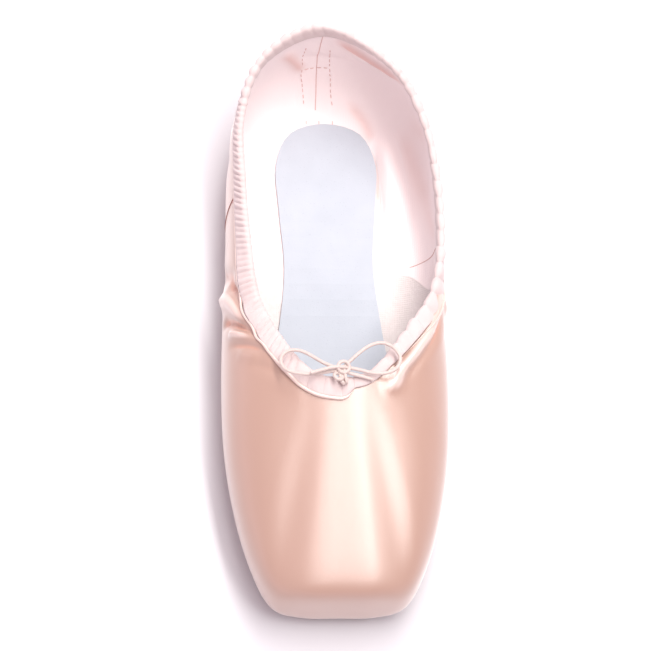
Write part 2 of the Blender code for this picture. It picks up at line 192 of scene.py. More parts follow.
class PointeSizes(bpy.types.PropertyGroup):
    """Sizes of the cloth, the thread and the cord."""

    cord: length_property("Cord", "Diameter of the drawstring", 0.0014)
    gather: length_property("Gather depth", "Depth of the binding's puckers", GATHER_DEPTH)
    piping: length_property("Piping", "Radius of the satin edge outside the binding", PIPING_RADIUS)
    stitch: length_property("Stitch", "Length of one stitch", 0.0016)
    fold: bpy.props.FloatProperty(
        name="Folds", description="Share of the folds' full height", default=1.0, min=0.0, max=2.0,
        subtype="FACTOR")


def colour_property(name, description, default):
    """A colour that a user would change."""
    return bpy.props.FloatVectorProperty(
        name=name, description=description, default=default, size=3, min=0.0, max=1.0,
        subtype="COLOR")


class PointeColours(bpy.types.PropertyGroup):
    """Colours of the cloths, the leather and the stage."""

    satin: colour_property("Satin", "Face of the satin", (0.465, 0.285, 0.22))
    satin_deep: colour_property("Satin in the folds", "Satin seen into its pile", (0.415, 0.238, 0.175))
    # Painted shade: the satin's colour down in the fold troughs.
    satin_painted_shade: colour_property("Satin troughs", "Satin down between two folds", (0.66, 0.32, 0.22))
    # Painted highlight: the pale satin of fold ridges, the quarters and the piping.
    satin_painted_highlight: colour_property("Satin piping", "Satin folded at the tape's edge", (0.80, 0.62, 0.555))
    lining: colour_property("Lining", "Cotton lining", (0.97, 0.865, 0.85))
    # Painted shade: the lining's pink-brown colour down in its folds and the insole gap.
    lining_painted_shade: colour_property("Lining troughs", "Lining down in its folds", (0.80, 0.55, 0.50))
    canvas: colour_property("Canvas", "Canvas inside the box", (0.76, 0.70, 0.68))
    tape: colour_property("Tape", "Cotton tape of the binding", (0.72, 0.60, 0.58))
    cord: colour_property("Cord", "Elastic drawstring", (0.68, 0.565, 0.52))
    thread: colour_property("Thread", "Sewing thread", (0.80, 0.55, 0.52))
    # Partly painted shadow: a real seam thread, drawn dark as the shade of the seam's groove.
    seam: colour_property("Seam", "Shadowed seam thread", (0.36, 0.13, 0.10))
    insole: colour_property("Insole", "Brushed insole board", (0.53, 0.565, 0.615))
    leather: colour_property("Leather", "Sole leather", (0.62, 0.45, 0.32))
    floor: colour_property("Floor", "Studio floor", (0.73, 0.72, 0.74))


def sizes():
    """The shoe's sizes as the user left them."""
    return bpy.context.scene.pointe_sizes


def colours():
    """The shoe's colours as the user left them."""
    return bpy.context.scene.pointe_colours


# ---------------------------------------------------------------- shader nodes


def add_node(tree, kind, inputs=None, **settings):
    """A node with its settings, and its inputs as values or as other nodes' outputs."""
    made = tree.nodes.new(kind)
    for name, value in settings.items():
        setattr(made, name, value)
    for key, value in (inputs or {}).items():
        if isinstance(value, bpy.types.NodeSocket):
            tree.links.new(value, made.inputs[key])
        else:
            made.inputs[key].default_value = value
    return made


def maths(tree, operation, *values):
    """What a Math node makes of one to three values."""
    return add_node(tree, "ShaderNodeMath", dict(enumerate(values)), operation=operation).outputs[0]


def eased(tree, value, start, full, most=1.0):
    """0 up to most, with level ends, while the value goes from start to full."""
    inputs = {"Value": value, "From Min": start, "From Max": full, "To Max": most}
    return add_node(tree, "ShaderNodeMapRange", inputs, interpolation_type="SMOOTHSTEP").outputs["Result"]


def attribute(tree, name):
    """A value that the mesh holds at its points."""
    return add_node(tree, "ShaderNodeAttribute", attribute_name=name).outputs["Fac"]


def noise(tree, where, scale, detail):
    """Soft noise from 0 to 1."""
    inputs = {"Vector": where, "Scale": scale, "Detail": detail}
    return add_node(tree, "ShaderNodeTexNoise", inputs).outputs["Fac"]


def mix_colour(tree, share, first, second):
    """Two colours mixed. A Mix node's colour sockets come after its float and vector ones."""
    return add_node(tree, "ShaderNodeMix", {0: share, 6: first, 7: second}, data_type="RGBA").outputs[2]


def start_group(name, inputs, outputs):
    """A new shader node group with named sockets, and its ends."""
    group = bpy.data.node_groups.new(name, "ShaderNodeTree")
    for label, kind, value in inputs:
        socket = group.interface.new_socket(label, in_out="INPUT", socket_type=kind)
        if value is not None:
            socket.default_value = value
    for label, kind in outputs:
        group.interface.new_socket(label, in_out="OUTPUT", socket_type=kind)
    return group, group.nodes.new("NodeGroupInput").outputs, group.nodes.new("NodeGroupOutput").inputs


def weave_group():
    """Threads that cross at two pitches, with an uneven twist. Puts out their height."""
    if "Weave" in bpy.data.node_groups:
        return bpy.data.node_groups["Weave"]
    group, given, end = start_group(
        "Weave",
        [("Vector", "NodeSocketVector", None), ("Along", "NodeSocketFloat", 0.001),
         ("Across", "NodeSocketFloat", 0.0004), ("Uneven", "NodeSocketFloat", 0.3)],
        [("Height", "NodeSocketFloat")])
    twist = noise(group, given["Vector"], 900.0, 2.0)
    parts = add_node(group, "ShaderNodeSeparateXYZ", {"Vector": given["Vector"]}).outputs
    waves = []
    for axis, pitch in (("X", "Across"), ("Y", "Along")):
        turns = maths(group, "DIVIDE", parts[axis], given[pitch])
        bent = maths(group, "MULTIPLY_ADD", twist, given["Uneven"], turns)
        waves.append(maths(group, "SINE", maths(group, "MULTIPLY", bent, math.tau)))
    both = maths(group, "MULTIPLY", *waves)
    group.links.new(maths(group, "MULTIPLY_ADD", both, 0.5, waves[0]), end["Height"])
    return group


def mottle_group():
    """Two colours mixed in soft uneven clouds."""
    if "Mottle" in bpy.data.node_groups:
        return bpy.data.node_groups["Mottle"]
    group, given, end = start_group(
        "Mottle",
        [("Vector", "NodeSocketVector", None), ("Colour", "NodeSocketColor", (1, 1, 1, 1)),
         ("Second colour", "NodeSocketColor", (1, 1, 1, 1)), ("Scale", "NodeSocketFloat", 60.0),
         ("Amount", "NodeSocketFloat", 0.5)],
        [("Colour", "NodeSocketColor")])
    share = maths(group, "MULTIPLY", noise(group, given["Vector"], given["Scale"], 4.0), given["Amount"])
    group.links.new(mix_colour(group, share, given["Colour"], given["Second colour"]), end["Colour"])
    return group


def weave(tree, where, along, across, uneven):
    """The height of a weave with its own pitches in metres."""
    inputs = {"Vector": where, "Along": along, "Across": across, "Uneven": uneven}
    return add_node(tree, "ShaderNodeGroup", inputs, node_tree=weave_group()).outputs["Height"]


def mottle(tree, where, base, second, scale, amount):
    """A colour with soft clouds of a second one."""
    inputs = {"Vector": where, "Colour": rgba(base), "Second colour": rgba(second),
              "Scale": scale, "Amount": amount}
    return add_node(tree, "ShaderNodeGroup", inputs, node_tree=mottle_group()).outputs["Colour"]


def rgba(colour):
    """A colour with full alpha."""
    return (*colour, 1.0)


def deeper(colour, share):
    """A darker and fuller shade of a colour."""
    return tuple(value ** (1.0 + share) * (1.0 - share * 0.4) for value in colour)


def bump(tree, height, distance, strength, normal=None):
    """The normal of a bump with a real height in metres, over another normal."""
    inputs = {"Height": height, "Distance": distance, "Strength": strength}
    if normal is not None:
        inputs["Normal"] = normal
    return add_node(tree, "ShaderNodeBump", inputs).outputs["Normal"]


def start_material(name, **values):
    """A new material, its tree, its shader and the object's own coordinates.

    The values are constants for the shader's sockets, with _ for each space in a socket's name.
    """
    made = bpy.data.materials.new(name)
    made.use_nodes = True
    tree = made.node_tree
    shader = tree.nodes["Principled BSDF"]
    for key, value in values.items():
        shader.inputs[key.replace("_", " ")].default_value = value
    return made, tree, shader, add_node(tree, "ShaderNodeTexCoord").outputs["Object"]


def paint(tree, shader, colour, normal=None):
    """Links a colour, and a bumped normal, to a shader."""
    tree.links.new(colour, shader.inputs["Base Color"])
    if normal is not None:
        tree.links.new(normal, shader.inputs["Normal"])


def satin_material(name, base, deep):
    """Peach-pink satin: long floats along the shoe, a soft gloss and slack threads, with painted shade in
    fold troughs and painted highlight on ridges and toward the heel.
    """
    made, tree, shader, where = start_material(
        name, Roughness=0.34, Metallic=0.04, Specular_IOR_Level=1.0, Coat_Weight=1.0,
        Coat_Roughness=0.31, Sheen_Weight=0.8, Sheen_Roughness=0.35, Sheen_Tint=(1.0, 0.93, 0.9, 1.0))
    grain = add_node(tree, "ShaderNodeMapping", {"Vector": where, "Scale": (1.0, 0.14, 1.0)}).outputs[0]
    back = add_node(tree, "ShaderNodeSeparateXYZ", {"Vector": where}).outputs["Y"]
    fold = attribute(tree, "fold_depth")
    pale = rgba(colours().satin_painted_highlight)
    colour = mottle(tree, grain, base, deep, 70.0, 0.35)
    # Painted sheen: the satin turns paler toward the heel.
    colour = mix_colour(tree, eased(tree, back, -0.005, 0.06, 0.35), colour, pale)
    # Painted shade: fold troughs turn a deeper orange by their fold depth.
    colour = mix_colour(tree, eased(tree, fold, 0.25, 1.0, 0.9), colour, rgba(colours().satin_painted_shade))
    # Painted highlight: fold ridges turn pale by their fold depth.
    colour = mix_colour(tree, eased(tree, fold, -0.25, -1.0, 0.8), colour, pale)
    normal = bump(tree, noise(tree, grain, 120.0, 3.0), 0.00008, 0.5)
    paint(tree, shader, colour, bump(tree, weave(tree, where, 0.0011, 0.00035, 0.6), 0.00002, 0.35, normal))
    return made


def lining_material():
    """Matt cotton with a plain weave, coarse twill in front of the canvas patch's edge, and painted shade in
    its fold troughs.
    """
    made, tree, shader, where = start_material(
        "lining_face", Roughness=0.85, Sheen_Weight=0.25, Sheen_Roughness=0.5, Specular_IOR_Level=0.3)
    base, canvas = colours().lining, colours().canvas
    mask = eased(tree, attribute(tree, "canvas_edge"), -0.0006, 0.0006)
    shade = mottle(tree, where, canvas, deeper(canvas, 0.3), 600.0, 0.8)
    colour = mix_colour(tree, mask, mottle(tree, where, base, deeper(base, 0.25), 45.0, 0.5), shade)
    # Painted shade: fold troughs, the heel folds and the insole gap turn pink-brown.
    trough = maths(tree, "MAXIMUM", attribute(tree, "fold_depth"), 0.0)
    colour = mix_colour(tree, trough, colour, rgba(colours().lining_painted_shade))
    normal = bump(tree, weave(tree, where, 0.0007, 0.0007, 0.4), 0.00004, 0.4)
    ribs = maths(tree, "MULTIPLY", weave(tree, where, 0.0009, 0.02, 0.5), mask)
    normal = bump(tree, ribs, 0.00008, 0.6, normal)
    paint(tree, shader, colour, bump(tree, maths(tree, "SUBTRACT", 1.0, mask), 0.0004, 0.4, normal))
    return made


def tape_material():
    """Soft cotton tape with a fine even weave."""
    made, tree, shader, where = start_material(
        "tape_face", Roughness=0.7, Sheen_Weight=0.3, Specular_IOR_Level=0.35)
    base = colours().tape
    normal = bump(tree, weave(tree, where, 0.0005, 0.0005, 0.5), 0.00003, 0.5)
    paint(tree, shader, mottle(tree, where, base, deeper(base, 0.5), 220.0, 0.45), normal)
    return made


def cord_material():
    """Round elastic with a braided cover."""
    made, tree, shader, where = start_material("elastic_cover", Roughness=0.5, Sheen_Weight=0.3)
    base = colours().cord
    inputs = {"Vector": where, "Scale": 420.0, "Distortion": 2.0}
    braid = add_node(tree, "ShaderNodeTexWave", inputs, bands_direction="DIAGONAL").outputs["Fac"]
    colour = mottle(tree, where, base, deeper(base, 0.5), 900.0, 0.6)
    paint(tree, shader, colour, bump(tree, braid, 0.00006, 0.5))
    return made


def thread_material(name, colour):
    """Twisted sewing thread."""
    made, tree, shader, where = start_material(name, Roughness=0.6)
    paint(tree, shader, mottle(tree, where, colour, deeper(colour, 0.6), 1500.0, 0.7))
    return made


def insole_material():
    """Brushed board: pale blue grey with a fine nap and scattered darker flecks."""
    made, tree, shader, where = start_material(
        "insole_face", Roughness=0.9, Sheen_Weight=0.2, Specular_IOR_Level=0.25)
    base = colours().insole
    spots = add_node(tree, "ShaderNodeTexVoronoi", {"Vector": where, "Scale": 800.0}).outputs
    inputs = {"Value": spots["Distance"], "From Min": 0.10, "From Max": 0.22, "To Min": 0.16, "To Max": 0.0}
    fleck = add_node(tree, "ShaderNodeMapRange", inputs).outputs["Result"]
    share = maths(tree, "MULTIPLY", fleck, maths(tree, "GREATER_THAN", spots["Color"], 0.45))
    colour = mottle(tree, where, base, deeper(base, 0.3), 90.0, 0.4)
    colour = mix_colour(tree, share, colour, rgba(deeper(base, 1.0)))
    paint(tree, shader, colour, bump(tree, noise(tree, where, 1800.0, 3.0), 0.00008, 0.5))
    return made


def leather_material():
    """Vegetable-tanned sole leather with pores."""
    made, tree, shader, where = start_material("leather_face", Roughness=0.62)
    base = colours().leather
    pores = add_node(tree, "ShaderNodeTexVoronoi", {"Vector": where, "Scale": 900.0}).outputs["Distance"]
    normal = bump(tree, noise(tree, where, 260.0, 5.0), 0.0002, 0.4, bump(tree, pores, 0.00005, 0.4))
    paint(tree, shader, mottle(tree, where, base, deeper(base, 0.6), 40.0, 0.8), normal)
    return made


# ---------------------------------------------------------------- shell tools


def turned(loop, times):
    """The loop that leaves the same vertex that many edges further round."""
    for _ in range(times):
        loop = loop.link_loop_prev.link_loop_radial_next
    return loop


def straight(loop):
    """The loops met by walking straight on, where six edges meet, until the line closes."""
    line = [loop]
    while True:
        loop = turned(loop.link_loop_radial_next, 3)
        if loop.vert == line[0].vert:
            return line
        line.append(loop)


def shell_grid(bm, start, rings, down, side):
    """The solid's vertices as columns of rings, with the edges that cut its quads dissolved."""
    profile = ring = None
    for loop in start.link_loops:
        line = straight(loop)
        ahead = line[1].vert.co - start.co
        if len(line) == rings and ahead.dot(down) > 0:
            profile = loop
        if len(line) == COLUMNS and ahead.dot(side) > 0:
            ring = loop
    turns = next(k for k in range(6) if turned(ring, k) == profile)
    grid = [[step.vert for step in straight(turned(at, turns))] for at in straight(ring)]
    place = {vert: (c, r) for c, column in enumerate(grid) for r, vert in enumerate(column)}
    cutting = []
    for edge in bm.edges:
        (c1, r1), (c2, r2) = (place[vert] for vert in edge.verts)
        if c1 != c2 and r1 != r2:
            cutting.append(edge)
    bmesh.ops.dissolve_edges(bm, edges=cutting, use_verts=False)
    return grid, place


def upper_grid(bm):
    """The upper's grid, which starts at the collar's edge over the throat."""
    throat = [vert for vert in bm.verts if abs(vert.co.x) < 1e-4 and -0.045 < vert.co.y < -0.03]
    start = max(throat, key=lambda vert: vert.co.z)
    return shell_grid(bm, start, UPPER_RINGS, Vector((0, -1, -0.2)), Vector((1, 0, 0)))


def binding_grid(bm):
    """The binding's grid, which starts at the tape's lower outside corner at the throat."""
    throat = [vert for vert in bm.verts if abs(vert.co.x) < 1e-4 and vert.co.y < 0]
    start = min(throat, key=lambda vert: vert.co.y)
    return shell_grid(bm, start, BINDING_RINGS, Vector((0, 1, 0.3)), Vector((1, 0, 0)))


def write_places(bm, place, rings):
    """A UV map that holds each corner's column and ring as shares of one turn."""
    layer = bm.loops.layers.uv.new("shell")
    for face in bm.faces:
        here = [place[vert] for vert in face.verts]
        wraps_round = {0, COLUMNS - 1} <= {c for c, _ in here}
        wraps_down = {0, rings - 1} <= {r for _, r in here}
        for loop in face.loops:
            c, r = place[loop.vert]
            c += COLUMNS if wraps_round and c == 0 else 0
            r += rings if wraps_down and r == 0 else 0
            loop[layer].uv = (c / COLUMNS, r / rings)
    return layer


def between(before, begin, end, after, t):
    """A smooth curve's points between its two middle knots, at shares of the way."""
    return 0.5 * (
        2 * begin + (end - before) * t + (2 * before - 5 * begin + 4 * end - after) * t**2
        + (3 * begin - before - 3 * end + after) * t**3)


def spline_round(values, at):
    """A closed smooth curve through rows of values, read at fractional row numbers."""
    index = np.floor(at).astype(int)
    knots = (values[(index + step) % len(values)] for step in (-1, 0, 1, 2))
    return between(*knots, (at - index)[:, None])


def add_columns(bm, grid, place, layer, cuts_at):
    """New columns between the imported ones, set on a smooth curve round each ring."""
    rings = len(grid[0])
    points = np.array([[vert.co[:] for vert in column] for column in grid])
    for cuts in sorted(set(cuts_at) - {0}):
        edges = []
        for edge in bm.edges:
            if edge.verts[0] not in place or edge.verts[1] not in place:
                continue
            (c1, _), (c2, _) = (place[vert] for vert in edge.verts)
            if c1 == c2:
                continue
            low = COLUMNS - 1 if {c1, c2} == {0, COLUMNS - 1} else min(c1, c2)
            if cuts_at[low] == cuts:
                edges.append(edge)
        bmesh.ops.subdivide_edges(bm, edges=edges, cuts=cuts, use_grid_fill=False)
    for vert in bm.verts:
        if vert in place:
            continue
        u, v = vert.link_loops[0][layer].uv
        ring = round(v * rings) % rings
        vert.co = spline_round(points[:, ring], np.array([u * COLUMNS]))[0]


def copy_of_node(node):
    """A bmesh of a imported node's mesh with its corners merged."""
    bm = bmesh.new()
    bm.from_mesh(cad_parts[node].data)
    bmesh.ops.remove_doubles(bm, verts=bm.verts, dist=1e-6)
    return bm


def add_object(name, bm, materials):
    """An object from a bmesh, smooth, with its materials in order."""
    mesh = bpy.data.meshes.new(name)
    bm.to_mesh(mesh)
    bm.free()
    mesh.shade_smooth()
    for material in materials:
        mesh.materials.append(material)
    made = bpy.data.objects.new(name, mesh)
    bpy.context.scene.collection.objects.link(made)
    return made


def subdivided(made, levels):
    """The object with Catmull-Clark subdivision applied to its mesh."""
    modifier = made.modifiers.new("Subdivision", "SUBSURF")
    modifier.levels = modifier.render_levels = levels
    graph = bpy.context.evaluated_depsgraph_get()
    mesh = bpy.data.meshes.new_from_object(made.evaluated_get(graph))
    made.modifiers.clear()
    made.data = mesh
    return made


def read_points(mesh):
    """A mesh's points and normals as arrays."""
    count = len(mesh.vertices)
    points, normals = np.empty(count * 3), np.empty(count * 3)
    mesh.vertices.foreach_get("co", points)
    mesh.vertex_normals.foreach_get("vector", normals)
    return points.reshape(-1, 3), normals.reshape(-1, 3)


def read_places(mesh):
    """Each point's column and ring shares, from the shell's own UV map."""
    corners = np.empty(len(mesh.loops), int)
    mesh.loops.foreach_get("vertex_index", corners)
    flat = np.empty(len(mesh.loops) * 2)
    mesh.uv_layers["shell"].uv.foreach_get("vector", flat)
    places = np.empty((len(mesh.vertices), 2))
    places[corners] = flat.reshape(-1, 2)
    return places


def write_points(mesh, points):
    """Moves a mesh's points."""
    mesh.vertices.foreach_set("co", points.ravel())
    mesh.update()


def smooth_line(points, count):
    """Evenly spaced points of a smooth curve through a few points."""
    knots = np.array(points, float)
    ends = np.vstack([2 * knots[0] - knots[1], knots, 2 * knots[-1] - knots[-2]])
    t = np.linspace(0.0, 1.0, 24, endpoint=False)[:, None]
    pieces = [between(*four, t) for four in zip(ends, ends[1:], ends[2:], ends[3:])]
    fine = np.vstack(pieces + [knots[-1:]])
    lengths = np.append(0.0, np.cumsum(np.linalg.norm(np.diff(fine, axis=0), axis=1)))
    stations = np.linspace(0.0, lengths[-1], count)
    return np.column_stack([np.interp(stations, lengths, fine[:, axis]) for axis in range(3)])


def smooth_step(value):
    """0 to 1 with level ends."""
    value = np.clip(value, 0.0, 1.0)
    return value * value * (3.0 - 2.0 * value)


def surface_of(*names):
    """A search tree over the finished surfaces of some pieces."""
    bm = bmesh.new()
    for name in names:
        bm.from_mesh(bpy.data.objects[name].data)
    tree = bvhtree.BVHTree.FromBMesh(bm)
    bm.free()
    return tree


def laid(line, tree, lift):
    """A line's points moved to the nearest place of a surface, and a little over it."""
    found = []
    for point in line:
        place, normal, _, _ = tree.find_nearest(Vector(point))
        found.append(place + normal * lift)
    return np.array(found)


def add_tubes(name, lines, radii, material, round_steps=2, cyclic=False):
    """One mesh of round tubes along lines of points, with a radius for each point."""
    curve = bpy.data.curves.new(name, "CURVE")
    curve.dimensions = "3D"
    curve.bevel_depth = 1.0
    curve.bevel_resolution = round_steps
    curve.use_fill_caps = not cyclic
    for line, radius in zip(lines, radii):
        spline = curve.splines.new("POLY")
        spline.points.add(len(line) - 1)
        for point, place, size in zip(spline.points, line, np.broadcast_to(radius, len(line))):
            point.co = (*place, 1.0)
            point.radius = size
        spline.use_cyclic_u = cyclic
        spline.use_smooth = True
    curve.materials.append(material)
    made = bpy.data.objects.new(name, curve)
    bpy.context.scene.collection.objects.link(made)
    mesh = bpy.data.meshes.new_from_object(made.evaluated_get(bpy.context.evaluated_depsgraph_get()))
    bpy.data.objects.remove(made)
    made = bpy.data.objects.new(name, mesh)
    bpy.context.scene.collection.objects.link(made)
    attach(made, "root")
    return made


def stitches_along(line, pitch, length, tree, radius, seed):
    """Short threads along a line, each with both ends sunk in the cloth."""
    rng = random.Random(seed)
    total = float(np.linalg.norm(np.diff(line, axis=0), axis=1).sum())
    stations = np.append(0.0, np.cumsum(np.linalg.norm(np.diff(line, axis=0), axis=1)))
    found = []
    for k in range(int(total / pitch)):
        middle = (k + 0.5 + rng.uniform(-0.08, 0.08)) * pitch
        spread = np.array([-0.5, -0.25, 0.0, 0.25, 0.5]) * length * rng.uniform(0.85, 1.15) + middle
        points = np.column_stack([np.interp(spread, stations, line[:, axis]) for axis in range(3)])
        low = laid(points, tree, -radius * 0.6)
        high = laid(points, tree, radius * 0.6)
        found.append(np.array([low[0], high[1], high[2], high[3], low[4]]))
    return found


class OuterSkin:
    """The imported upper's outside: the collar's edge, and which way is out near a point."""

    def __init__(self):
        bm = copy_of_node("upper")
        grid, _ = upper_grid(bm)
        bm.normal_update()
        self.collar = np.array([column[0].co[:] for column in grid])
        self.tree = kdtree.KDTree(COLUMNS * OUTER_RINGS)
        self.outward = []
        for column in grid:
            for vert in column[:OUTER_RINGS]:
                self.tree.insert(vert.co, len(self.outward))
                self.outward.append(vert.normal.copy())
        self.tree.balance()
        bm.free()

    def out_at(self, points):
        """The outward direction for each point, blended from the nearest places of the skin."""
        found = np.empty((len(points), 3))
        for i, point in enumerate(points):
            total = Vector()
            for place, index, distance in self.tree.find_n(Vector(point), OUT_PLACES):
                total += self.outward[index] / (distance + OUT_BLEND)
            found[i] = total.normalized()
        return found


def fold_shift(points, out, normals, inner, hold=None, layers=frozenset({"all", "outside", "inside"})):
    """How far the folds move each point, and its depth from 1 in a trough to -1 on a ridge.

    inner marks the points of the inside wall. hold is the share of a fold through all the walls
    that each point takes, because the tape holds them at the collar.
    """
    shift = np.zeros_like(points)
    depth = np.zeros(len(points))
    for fold in FOLDS.values():
        if fold.layer not in layers:
            continue
        line = smooth_line(np.array(fold.points) / 1000.0, 24)
        reach = fold.half_width / 1000.0
        near = np.all(
            (points > line.min(axis=0) - 3 * reach) & (points < line.max(axis=0) + 3 * reach), axis=1)
        if fold.layer == "outside":
            near &= ~inner
        if fold.layer == "inside":
            near &= inner
        if not near.any():
            continue
        here = points[near]
        best = np.full(len(here), 1e9)
        share = np.zeros(len(here))
        for i, (a, b) in enumerate(zip(line, line[1:])):
            step = b - a
            t = np.clip((here - a) @ step / (step @ step), 0.0, 1.0)
            distance = np.linalg.norm(here - a - t[:, None] * step, axis=1)
            closer = distance < best
            best = np.where(closer, distance, best)
            share = np.where(closer, (i + t) / (len(line) - 1), share)
        ends = smooth_step(share / fold.fade) * smooth_step((1.0 - share) / fold.fade)
        rise = fold.rise / 1000.0 * sizes().fold * np.exp(-((best / reach) ** FOLD_FALL)) * ends
        if fold.layer == "all" and hold is not None:
            rise *= hold[near]
        way = normals[near] if fold.layer == "inside" else out[near]
        shift[near] += way * rise[:, None]
        depth[near] -= rise
    return shift, np.clip(depth * 1000.0 / PAINTED_SHADE_DEPTH, -1.0, 1.0)


# ---------------------------------------------------------------- gathers

# One row for each stretch of the collar: where it ends as a share of the turn round the shoe from
# the throat by the right side, the gathers' pitch and depth in millimetres, and how uneven.
Gather = namedtuple("Gather", "until pitch depth uneven")
GATHERS = {
    "throat_right": Gather(0.05, 4.5, 0.85, 0.3),
    "wing_right": Gather(0.25, 8.5, 0.40, 0.25),
    "side_right": Gather(0.445, 7.4, 1.15, 0.15),
    "heel": Gather(0.555, 4.8, 0.95, 0.2),
    "side_left": Gather(0.695, 2.5, 0.95, 0.1),
    "wing_left": Gather(0.80, 2.6, 0.85, 0.2),
    "throat_left": Gather(1.00, 6.5, 0.95, 0.3),
}


# How far the tape's outside edge is drawn up, by the share of the turn
NARROW = ((0.0, 0.02, 0.05, 0.20, 0.34, 1.0), (0.0, 0.1, 0.55, 0.55, 0.0, 0.0))
# How flat the tape lies over the edge, by the share of the turn
FLAT_CROWN = ((0.0, 0.54, 0.58, 0.93, 0.97, 1.0), (0.0, 0.0, 0.75, 0.75, 0.0, 0.0))
# The satin piping outside the tape: its radius in millimetres, by the share of the turn
PIPING = ((0.0, 0.02, 0.05, 0.25, 0.32, 0.45, 0.55, 0.66, 0.72, 0.78, 1.0),
          (0.75, 0.6, 0.08, 0.08, 0.45, 0.4, 0.4, 0.45, 0.6, 0.8, 0.75))


def gather_turns(edge):
    """How many gathers have passed at each column of the collar's edge, and how deep they are."""
    steps = np.linalg.norm(np.roll(edge, -1, axis=0) - edge, axis=1)
    share = np.arange(COLUMNS) / COLUMNS
    rows = list(GATHERS.values())
    row_at = [next(row for row in rows if s < row.until) for s in share]
    pitch = np.array([row.pitch for row in row_at]) / 1000.0
    depth = np.array([row.depth for row in row_at]) / 1000.0
    turns = np.append(0.0, np.cumsum(steps / pitch))
    turns *= round(turns[-1]) / turns[-1]
    return turns, np.append(depth, depth[0])


def gather_wave(turns, seed):
    """Rounded puckers with tight valleys, each a little different."""
    rng = random.Random(seed)
    total = int(round(float(turns.max()))) + 2
    height = np.array([rng.uniform(0.6, 1.15) for _ in range(total)])
    height[total - 2] = height[0]
    shift = np.array([rng.uniform(-0.12, 0.12) for _ in range(total)])
    index = np.clip(np.floor(turns).astype(int), 0, total - 2)
    local = turns - index
    local = np.clip(local + shift[index] * np.sin(math.pi * local), 0.0, 1.0)
    return np.abs(np.sin(math.pi * local)) ** 0.7 * height[index]


# How strongly the tape's gathers rise round its section, from the outside lower edge over the crown
GATHER_RINGS = ((0, 0.5, 1, 2, 3, 4, 5, 5.6, 6, 9.4, 10), (0.7, 1.0, 1.0, 0.9, 0.7, 0.5, 0.3, 0.1, 0, 0, 0.7))
# How much of FLAT_CROWN each place of that section takes
FLAT_RINGS = ((0, 1, 2, 3, 10), (0, 0, 0.5, 1, 1))
GATHER_MIDDLE = 0.75  # the height of a gather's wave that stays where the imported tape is

# The camera: its height over the floor, its turn to the side and its roll in degrees, and its place
ELEVATION, LATERAL, ROLL = (math.radians(angle) for angle in (68.0, 5.0, -1.4))
CAMERA_PLACE = (-0.0722, -0.3197, 0.8105)
CAMERA_LENS = 117.64

# How bright the studio is round the shoe, by the sine of the height over the horizon
SKY = ((0.02, 1.17), (0.25, 1.07), (0.50, 0.62), (0.85, 0.56), (0.97, 0.70))
SKY_TINT = (1.0, 0.87, 0.96)
# How much brighter the sky is on the shoe's left, and on its right
SKY_LEAN = (1.17, 0.80)
# The soft boxes, each with its long side along Y and then turned in plan by some degrees
Light = namedtuple("Light", "place size turn energy colour")
LIGHTS = {
    "key": Light((0.218, 0.28, 1.05), (0.15, 1.5), 10, 13.5, (1.0, 1.0, 0.98)),
    "soft": Light((0.03, 0.15, 1.05), (0.24, 1.5), 6, 4.6, (1.0, 0.98, 0.97)),
}
LIGHT_AIM = Vector((0.0, 0.08, 0.0))


# ---------------------------------------------------------------- operators


class POINTE_OT_camera(bpy.types.Operator):
    """Sets the camera at the photograph's angle"""

    bl_idname = "pointe.camera"
    bl_label = "Set the camera"

    def execute(self, context):
        side = -math.tan(LATERAL) * math.sin(ELEVATION)
        back = Vector((side, -math.cos(ELEVATION), math.sin(ELEVATION)))
        back.normalize()
        right = (-back).cross(Vector((0, 1, 0))).normalized()
        up = right.cross(-back)
        across = right * math.cos(ROLL) + up * math.sin(ROLL)
        upright = up * math.cos(ROLL) - right * math.sin(ROLL)
        data = bpy.data.cameras.new("camera")
        data.sensor_width, data.lens = 36.0, CAMERA_LENS
        camera = bpy.data.objects.new("camera", data)
        context.scene.collection.objects.link(camera)
        turn = Matrix((across, upright, back)).transposed()
        camera.matrix_world = Matrix.Translation(CAMERA_PLACE) @ turn.to_4x4()
        context.scene.camera = camera
        return {"FINISHED"}


